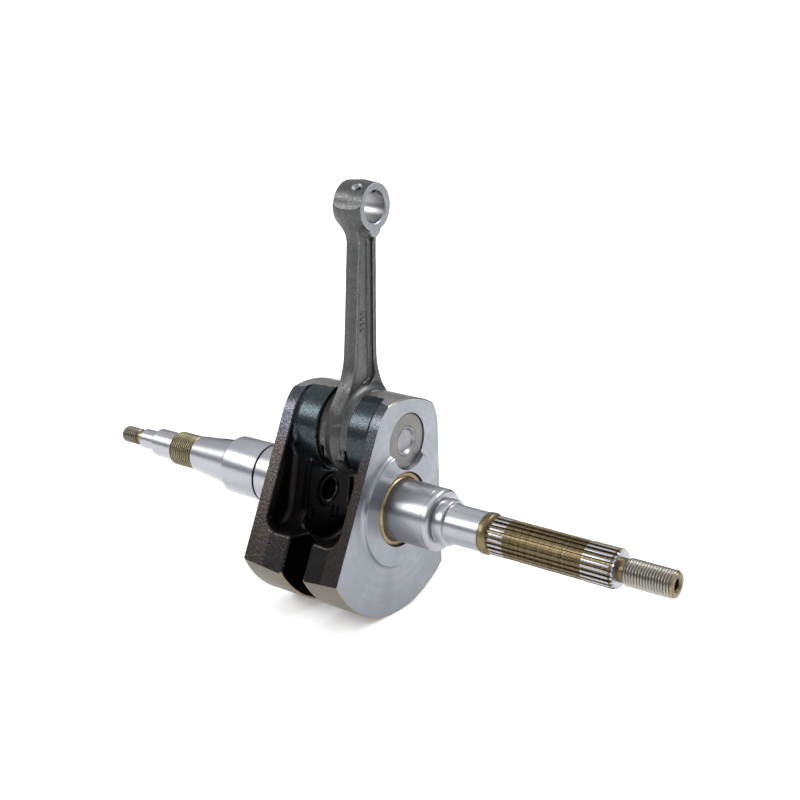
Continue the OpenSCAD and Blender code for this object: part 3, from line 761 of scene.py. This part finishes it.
def spline_mesh():
    """The toothed part, with ground tooth tops at both ends and run-outs to the collar."""
    shape = [(0.00, 0.02), (0.095, 0.93), (0.125, 1.0), (0.29, 1.0), (0.455, 1.0), (0.485, 0.93),
             (0.58, 0.02), (0.64, 0.0), (0.79, 0.0), (0.94, 0.0)]
    stations = [(90.6, 0.0, 0.3), (91.6, 0.25, 0.15), (92.6, 0.8, 0.0), (93.2, 1.0, 0.0), (101.0, 1.0, 0.0),
                (101.4, 0.87, 0.0), (123.0, 0.87, 0.0), (145.6, 0.87, 0.0), (146.0, 1.0, 0.0),
                (160.6, 1.0, 0.0), (161.6, 0.80, 0.0), (162.5, 0.42, 0.0)]
    angle = np.array([(t + p) * 2 * math.pi / SPLINE_TEETH for t in range(SPLINE_TEETH) for p, _ in shape])
    height = np.array([h for t in range(SPLINE_TEETH) for _, h in shape])
    rows = []
    for x, tip, base in stations:
        r = SPLINE_ROOT + (SPLINE_TOP - SPLINE_ROOT) * np.minimum(np.maximum(height, base), tip)
        rows.append(np.stack([np.full(len(r), x), r * np.sin(angle), r * np.cos(angle)], 1))
    for r in (7.6, 5.0):
        rows.append(np.stack([np.full(len(angle), 162.6), r * np.sin(angle), r * np.cos(angle)], 1))
    return build_mesh("drive_spline", np.concatenate(rows), strips(len(rows), len(angle), True))


def spline_zones(centres, normals):
    """0 bronze, 1 ground tops, 2 end face."""
    x = centres[:, 0]
    ground = (radii(centres) > 9.98) & (((x > 93) & (x < 101.2)) | ((x > 145.8) & (x < 160.8)))
    return np.where(x > 162.0, 2, np.where(ground, 1, 0))


piece("drive_spline", spline_mesh(), ON_CRANK, "crank", (SPLINE_TINT, JOURNAL_STEEL, JOURNAL_STEEL),
      ["drive_side_half"], choose=spline_zones)

THREAD_CORE = [
    (161.5, 5.0, 0), (161.5, 6.05, 0), (165.9, 6.05, 0.2), (166.0, 6.1, 0), (190.8, 6.1, 0),
    (191.9, 6.05, 0.3), (192.0, 4.6, 0.15), (192.0, 3.9, 0.15), (191.0, 2.9, 0.2), (178.0, 2.9, 0),
    (176.5, 0, 0),
]


def thread_core_zones(centres, normals):
    """0 steel, 1 bronze relief, 2 bore painted dark as shade."""
    x = centres[:, 0]
    return np.where(radii(centres) < 3.2, 2, np.where((x < 166.3) | (x > 191), 1, 0))


def drive_thread_zones(centres, normals):
    """0 steel, 1 gold end, 2 root painted dark as shade."""
    return np.where(centres[:, 0] > 191.0, 1, 2 * (radii(centres) < 6.55))


piece("drive_thread_core", lathe("drive_thread_core", THREAD_CORE), ON_CRANK, "crank",
      (THREAD_STEEL, BRONZE_TINT, GROOVE_PAINTED_SHADE), ["drive_side_half"], choose=thread_core_zones)
piece("drive_thread", build_mesh("drive_thread", *thread(166.0, 191.9, 7.0), merge=1e-3), ON_CRANK, "crank",
      (THREAD_STEEL, GOLD_TINT, THREAD_ROOT_PAINTED_SHADE), ["drive_side_half"], choose=drive_thread_zones)


# ---- Flywheel-side shaft ----

FLYWHEEL_PROFILE = SHAFT_START + [
    (56.5, JOURNAL, 0.12), (56.6, 15.7, 0.1), (57.8, 15.7, 0.1), (57.9, JOURNAL, 0.12), (82.0, JOURNAL, 1.5),
    (82.05, 13.6, 0.3), (111.3, 10.4, 0.5), (111.6, 9.0, 0.1), (129.2, 8.9, 0), (129.4, 8.35, 0.1),
    (145.5, 8.35, 2.1), (145.6, 5.95, 0.5), (157.6, 5.95, 1.2), (157.7, 4.0, 0.1), (161.0, 4.0, 0.1),
    (161.1, 4.0, 0), (173.4, 4.0, 0), (174.0, 3.7, 0.1), (174.0, 2.5, 0.1), (172.0, 1.0, 0.1),
    (168.0, 1.0, 0), (167.4, 0, 0),
]


def flywheel_zones(centres, normals):
    """0 ground, 1 groove painted dark as shade, 2 gold undercut, 3 bore, 4 bronze root, 5 keyway."""
    x, y, z = centres.T
    radius = np.hypot(y, z)
    zone = np.where((radius < 7) & (x < 50), 3, 0)
    zone[(x > 56.45) & (x < 57.95) & (radius < JOURNAL - 0.05)] = 1
    zone[(x > 157.65) & (x < 161.2)] = 2
    zone[(x > 111.5) & (x < 129.3) & (radius < 9.2)] = 4
    zone[(x > 82.5) & (x < 97) & (radius < 12.6 + (90 - x) * 0.02) & (z > 5) & (np.abs(y) < 2.05)] = 5
    return zone


def flywheel_thread_zones(centres, normals):
    """0 bronze flanks, 1 crest painted light as a highlight, 2 root painted dark as shade."""
    radius = radii(centres)
    return np.select([radius > 9.66, radius < 9.54], [1, 2], 0)


def tip_thread_zones(centres, normals):
    """0 steel, 1 root painted dark as shade."""
    return radii(centres) < 4.5


keyway = lathe("keyway_cutter", [(-2, 0, 0), (-2, 6.5, 0), (2, 6.5, 0), (2, 0, 0)], 96)
keyway.transform(Matrix.Translation((89.5, 0, 14)) @ Matrix.Rotation(math.radians(90), 4, "Z"))
flywheel_shaft = without(lathe("flywheel_journal", FLYWHEEL_PROFILE), [keyway])
piece("flywheel_journal", flywheel_shaft, ON_CRANK, "crank",
      (JOURNAL_STEEL, GROOVE_PAINTED_SHADE, GOLD_TINT, BORE_STEEL, BRONZE_TINT, BRONZE_TINT),
      ["flywheel_side_half"], True, flywheel_zones)
flywheel_thread = thread(111.5, 129.3, 9.9, 0.6, 1.0, mirrored=True)
piece("flywheel_thread", build_mesh("flywheel_thread", *flywheel_thread, merge=1e-3), ON_CRANK, "crank",
      (BRONZE_TINT, THREAD_CREST_PAINTED_HIGHLIGHT, THREAD_ROOT_PAINTED_SHADE), ["flywheel_side_half"], True,
      flywheel_thread_zones)
tip_thread = thread(160.9, 173.6, 4.9, 0.8, 0.8, 72, mirrored=True)
piece("tip_thread", build_mesh("tip_thread", *tip_thread, merge=1e-3), ON_CRANK, "crank",
      (THREAD_STEEL, THREAD_ROOT_PAINTED_SHADE), ["flywheel_side_half"], True, tip_thread_zones)


# ---- Crankpin, plugs, washers and rollers ----

PIN_PLACE = ON_CRANK @ Matrix.Translation((0, 0, THROW))
PIN_PROFILE = [
    (-PIN_END, PIN_BORE, 0), (-PIN_END, PIN_BORE + 2, 0), (-PIN_END, PIN_RADIUS, 0.8), (0, PIN_RADIUS, 0),
    (PIN_END, PIN_RADIUS, 0.8), (PIN_END, PIN_BORE + 2, 0), (PIN_END, PIN_BORE, 0.3), (0, PIN_BORE, 0),
    (-PIN_END, PIN_BORE, 0),
]
piece("crankpin_body", lathe("crankpin_body", PIN_PROFILE), PIN_PLACE, "crank", (PIN_STEEL, BORE_STEEL),
      ["crankpin"], choose=lambda centres, normals: np.abs(normals[:, 0]) < 0.5)

PLUG_PROFILE = [
    (25.0, 0, 0), (25.0, 7.95, 0.5), (30.8, 7.95, 0), (31.1, 7.4, 0.3), (31.1, 6.9, 0.2), (29.8, 5.8, 0.5),
    (29.4, 4.0, 0), (29.3, 0, 0),
]
for half, flip in HALVES:
    piece(f"{half}_plug_cup", lathe(f"{half}_plug_cup", PLUG_PROFILE, 128), PIN_PLACE, "crank", (PLUG_STEEL,),
          [f"{half}_plug"], flip)

for half, start in (("drive", 9.2), ("flywheel", -10.0)):
    ring = [(start, 17, 0), (start, 22.4, 0.15), (start + 0.8, 22.4, 0.15), (start + 0.8, 15.05, 0.1),
            (start, 15.05, 0.1), (start, 17, 0)]
    piece(f"{half}_washer_ring", lathe(f"{half}_washer_ring", ring, 192), ON_PIN, "crank", (WASHER_BRONZE,),
          [f"{half}_thrust_washer"])

ROLLER_PROFILE = [(-ROLLER_HALF, 0, 0), (-ROLLER_HALF, ROLLER_RADIUS, 0.3), (0, ROLLER_RADIUS, 0),
                  (ROLLER_HALF, ROLLER_RADIUS, 0.3), (ROLLER_HALF, 0, 0)]
for i in range(1, ROLLERS + 1):
    name = f"roller_{i:02d}"
    turn = Matrix.Rotation(math.radians(360 * i / ROLLERS), 4, "X")
    place = ON_PIN @ (turn @ Matrix.Translation((0, 0, ROLLER_ORBIT)))
    piece(f"{name}_body", lathe(f"{name}_body", ROLLER_PROFILE, 48, 3), place, name, (ROLLER_STEEL,),
          [f"big_end_{name}"])

# The cage keeps the CAD's own mesh.
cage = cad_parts["big_end_cage"]
cage.data.materials.clear()
cage.data.materials.append(CAGE_STEEL)


# ---- Connecting rod ----

# Half outlines of the beam and of its pocket, as height above the crankpin axis and half width.
BEAM = np.array([
    (14, 19.8), (18, 18.4), (22, 15.9), (26, 13.7), (30, 12.0), (34, 10.6), (38, 9.8), (42, 9.4), (47, 9.2),
    (70, 8.4), (85, 8.1), (100, 7.6), (104, 7.7), (108, 8.3), (112, 9.4), (115, 10.8),
])
POCKET = np.array([
    (25.0, -3.0), (25.6, 2.0), (26.4, 4.6), (28, 7.0), (30.5, 7.9), (34, 7.4), (38, 6.8), (42, 6.5),
    (47, 6.2), (70, 5.5), (100, 4.7), (102.5, 3.8), (104, 2.2), (104.8, -1.0),
])
ROD_BARS = (54.5, 57.5, 60.5, 63.5)  # heights of the plain raised bars in the pocket


def faired(table, reach=3.0, step=0.25):
    """A half outline of (height, width) points averaged over a few millimetres, so that it has no kinks."""
    heights = np.arange(table[0, 0] - 10, table[-1, 0] + 10, step)
    weights = np.hanning(2 * int(reach / step) + 1)
    widths = np.pad(np.interp(heights, *table.T), len(weights) // 2, mode="edge")
    return heights, np.convolve(widths, weights / weights.sum(), "valid")


BEAM_OUTLINE = faired(BEAM)


def below(y, z, turn):
    """Distance out from the crankpin axis, turned from straight down, and distance across that way."""
    out = -z * math.cos(turn) - y * math.sin(turn)
    return out, (y * math.cos(turn) - z * math.sin(turn)) * math.copysign(1, turn)


def along_oil_hole(y, z, tilt):
    """Distance out from the small end's axis, tilted from straight up, and distance across that way."""
    c, s = math.cos(tilt), math.sin(tilt)
    return (z - ROD_LENGTH) * c - y * s, y * c + (z - ROD_LENGTH) * s


def rod_solid(x, y, z):
    """Distance to the connecting rod, about the crankpin axis, with its small end up."""
    across, side = np.abs(x), np.abs(y)
    from_big, from_small = np.hypot(y, z), np.hypot(y, z - ROD_LENGTH)
    ridge = np.maximum(1 - across / LAND, 0)
    lands = meet(from_big - BIG_LAND_RADIUS, across - ROD_HALF, 0.5)
    barrel = np.hypot(y, z + BARREL_DROP) - BARREL_RADIUS - PARTING_RIDGE * ridge
    big_end = join(lands, meet(barrel, across - LAND, 0.4), 0.3)
    width = np.interp(z, *BEAM_OUTLINE)
    beam = meet(side - width + BEAM_RIDGE - BEAM_RIDGE * ridge, across - BEAM_HALF, 0.6)
    beam = np.maximum(beam, np.abs(z - BEAM_MIDDLE) - 52)
    small = meet(from_small - SMALL_RADIUS + 0.1 * across, across - ROD_HALF, 0.3)
    tongue = np.hypot(y, np.minimum(z - ROD_LENGTH + 11.2, 0)) - TONGUE_RADIUS
    tongue = meet(tongue, across - ROD_HALF, 0.3)
    tongue = np.maximum(tongue, z - ROD_LENGTH + 8)
    small = join(small, tongue, 0.8)
    body = join(join(beam, big_end, 6.0), small, 7.0)
    for turn in (-SLOT_TURN, SLOT_TURN):
        reach, down = below(y, z, turn)
        knob = meet(np.hypot(down + 0.8, reach - KNOB_REACH) - KNOB_RADIUS, across - KNOB_HALF, 1.2)
        body = join(body, knob, 0.8)
    body = np.maximum(body, across - ROD_HALF)
    pocket = meet(side - np.interp(z, *POCKET.T) - 0.10 * (across - 4.5), 1.4 - across, 1.8)
    pocket = np.maximum(pocket, np.abs(z - BEAM_MIDDLE) - 40)
    body = carve(body, pocket, 0.7)
    for height in ROD_BARS:
        bar = meet(meet(side - 1.7, np.abs(z - height) - 0.6, 0.3), across - 1.95, 0.2)
        body = join(body, bar, 0.3)
    body = np.maximum(body, BIG_BORE - from_big)
    body = np.maximum(body, (BIG_BORE + 0.5 - from_big + across - ROD_HALF) * BEVEL)
    body = np.maximum(body, SMALL_BORE - from_small)
    body = np.maximum(body, (SMALL_BORE + 0.6 - from_small + across - ROD_HALF) * BEVEL)
    for tilt in (-OIL_HOLE_TURN, OIL_HOLE_TURN):
        reach, offset = along_oil_hole(y, z, tilt)
        hole = np.hypot(x - OIL_HOLE_X, offset) - OIL_HOLE_RADIUS - np.maximum(reach - OIL_SINK, 0)
        body = carve(body, np.maximum(hole, -reach), 0.2)
    for turn in (-SLOT_TURN, SLOT_TURN):
        reach, down = below(y, z, turn)
        slot = np.minimum(meet(np.abs(down) - SLOT_HALF, 7.0 - across, 0.5),
                          meet(np.abs(down - 5.5) - 3.5, 5.5 - across, 0.5))
        body = carve(body, np.maximum(slot, SLOT_DEPTH - reach), 0.6)
    return body


def rod_zones(centres, normals):
    """0 forged, 1 machined face, 2 bore, 3 pocket floor painted lighter as light, 4 beam edges painted bright
    as a highlight.
    """
    x, y, z = centres.T
    across, steep = np.abs(x), np.abs(normals[:, 0])
    bored = (np.hypot(y, z) < BIG_BORE + 0.1) | (np.hypot(y, z - ROD_LENGTH) < SMALL_BORE + 0.1)
    faced = (across > ROD_HALF - 0.7) & (steep > 0.6)
    for tilt in (-OIL_HOLE_TURN, OIL_HOLE_TURN):
        reach, offset = along_oil_hole(y, z, tilt)
        outward = normals[:, 2] * math.cos(tilt) - normals[:, 1] * math.sin(tilt)
        faced |= (np.hypot(x - OIL_HOLE_X, offset) < 3.6) & (reach > 10.5) & (outward < 0.9)
    # Zone 3, the pocket floors, is painted lighter as light.
    floor = (across < 2.2) & (steep > 0.7) & (z > 26) & (z < 104)
    # Zone 4, the beam's edges, is painted bright as a highlight.
    edge = (across > BEAM_HALF - 0.8) & (across < BEAM_HALF + 0.1) & (steep > 0.3) & (steep < 0.96)
    edge &= (z > 24) & (z < 110)
    return np.select([bored & (steep < 0.5), faced, floor, edge], [2, 1, 3, 4], 0)


rod_shape = contour(rod_solid, (-ROD_HALF, -26, -27), (ROD_HALF, 26, 133.5), 0.42)
piece("rod_forging", build_mesh("rod_forging", *rod_shape), ON_ROD, "rod",
      (ROD_STEEL, ROD_FACE, BORE_STEEL, POCKET_PAINTED_LIGHT, ROD_EDGE_PAINTED_HIGHLIGHT), ["connecting_rod"],
      choose=rod_zones)


# ---- Floor, light and camera ----

def plain(name, colour, roughness, glow):
    """A plain material with a little light of its own, for the floor."""
    material = bpy.data.materials.new(name)
    material.use_nodes = True
    shader = material.node_tree.nodes["Principled BSDF"]
    shader.inputs["Base Color"].default_value = (*colour, 1.0)
    shader.inputs["Roughness"].default_value = roughness
    shader.inputs["Emission Color"].default_value = (*colour, 1.0)
    shader.inputs["Emission Strength"].default_value = glow
    return material


FLOOR_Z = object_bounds()[0].z - 0.0002
FLOOR_HALF = 120.0
LIGHT_AIM = Vector((-0.02, 0.0, 0.03))

floor_mesh = bpy.data.meshes.new("floor")
corners = [(-FLOOR_HALF, -FLOOR_HALF), (FLOOR_HALF, -FLOOR_HALF), (FLOOR_HALF, FLOOR_HALF),
           (-FLOOR_HALF, FLOOR_HALF)]
floor_mesh.from_pydata([(x, y, FLOOR_Z) for x, y in corners], [], [(0, 1, 2, 3)])
floor = bpy.data.objects.new("floor", floor_mesh)
bpy.context.scene.collection.objects.link(floor)
floor_mesh.materials.append(plain("floor_white", (0.92, 0.92, 0.92), 0.9, 0.25))


def softbox(name, toward, distance, width, height, power):
    """A rectangular soft light in a direction from the part's middle, facing it."""
    data = bpy.data.lights.new(name, "AREA")
    data.shape, data.size, data.size_y = "RECTANGLE", width, height
    data.energy = power
    light = bpy.data.objects.new(name, data)
    light.location = LIGHT_AIM + Vector(toward).normalized() * distance
    light.rotation_euler = (LIGHT_AIM - light.location).to_track_quat("-Z", "Y").to_euler()
    bpy.context.scene.collection.objects.link(light)


softbox("front_left_softbox", (-0.58, -0.59, 0.50), 1.5, 1.25, 0.45, 16)
softbox("top_back_softbox", (0.49, 0.53, 0.75), 1.4, 0.3, 0.3, 12)
softbox("overhead_softbox", (-0.1, -0.1, 1.0), 1.6, 1.2, 1.0, 3)

world = bpy.data.worlds.new("studio")
bpy.context.scene.world = world
world.use_nodes = True
sky = world.node_tree
sky_place = sky.nodes.new("ShaderNodeTexCoord")
sky_parts = sky.nodes.new("ShaderNodeSeparateXYZ")
sky_ramp = sky.nodes.new("ShaderNodeValToRGB")
sky.links.new(sky_place.outputs["Generated"], sky_parts.inputs[0])
sky.links.new(sky_parts.outputs[2], sky_ramp.inputs[0])
sky.links.new(sky_ramp.outputs[0], sky.nodes["Background"].inputs[0])
DARK_SKY, BRIGHT_SKY = (0.12, 0.135, 0.175), (1.05, 1.06, 1.08)
set_stops(sky_ramp.color_ramp, [
    (0.0, DARK_SKY), (0.17, DARK_SKY), (0.31, (0.50, 0.505, 0.52)), (0.50, (0.95, 0.96, 0.98)),
    (0.80, BRIGHT_SKY), (1.0, BRIGHT_SKY),
])

AZIMUTH, ELEVATION, ROLL = math.radians(36.633), math.radians(16.633), math.radians(0.587)
CAMERA_PLACE = (0.413473, -0.574639, 0.273087)
back = Vector((math.sin(AZIMUTH) * math.cos(ELEVATION), -math.cos(AZIMUTH) * math.cos(ELEVATION),
               math.sin(ELEVATION)))
level = Vector((math.cos(AZIMUTH), math.sin(AZIMUTH), 0.0))
upright = back.cross(level)
right = level * math.cos(ROLL) + upright * math.sin(ROLL)
above = upright * math.cos(ROLL) - level * math.sin(ROLL)
camera_data = bpy.data.cameras.new("camera")
camera_data.sensor_width = 36.0
camera_data.lens = 65.62
camera_data.clip_start, camera_data.clip_end = 0.05, 50.0
camera = bpy.data.objects.new("camera", camera_data)
camera.matrix_world = Matrix((*zip(right, above, back, CAMERA_PLACE), (0, 0, 0, 1)))
bpy.context.scene.collection.objects.link(camera)
bpy.context.scene.camera = camera
bpy.context.scene.view_settings.view_transform = "Standard"
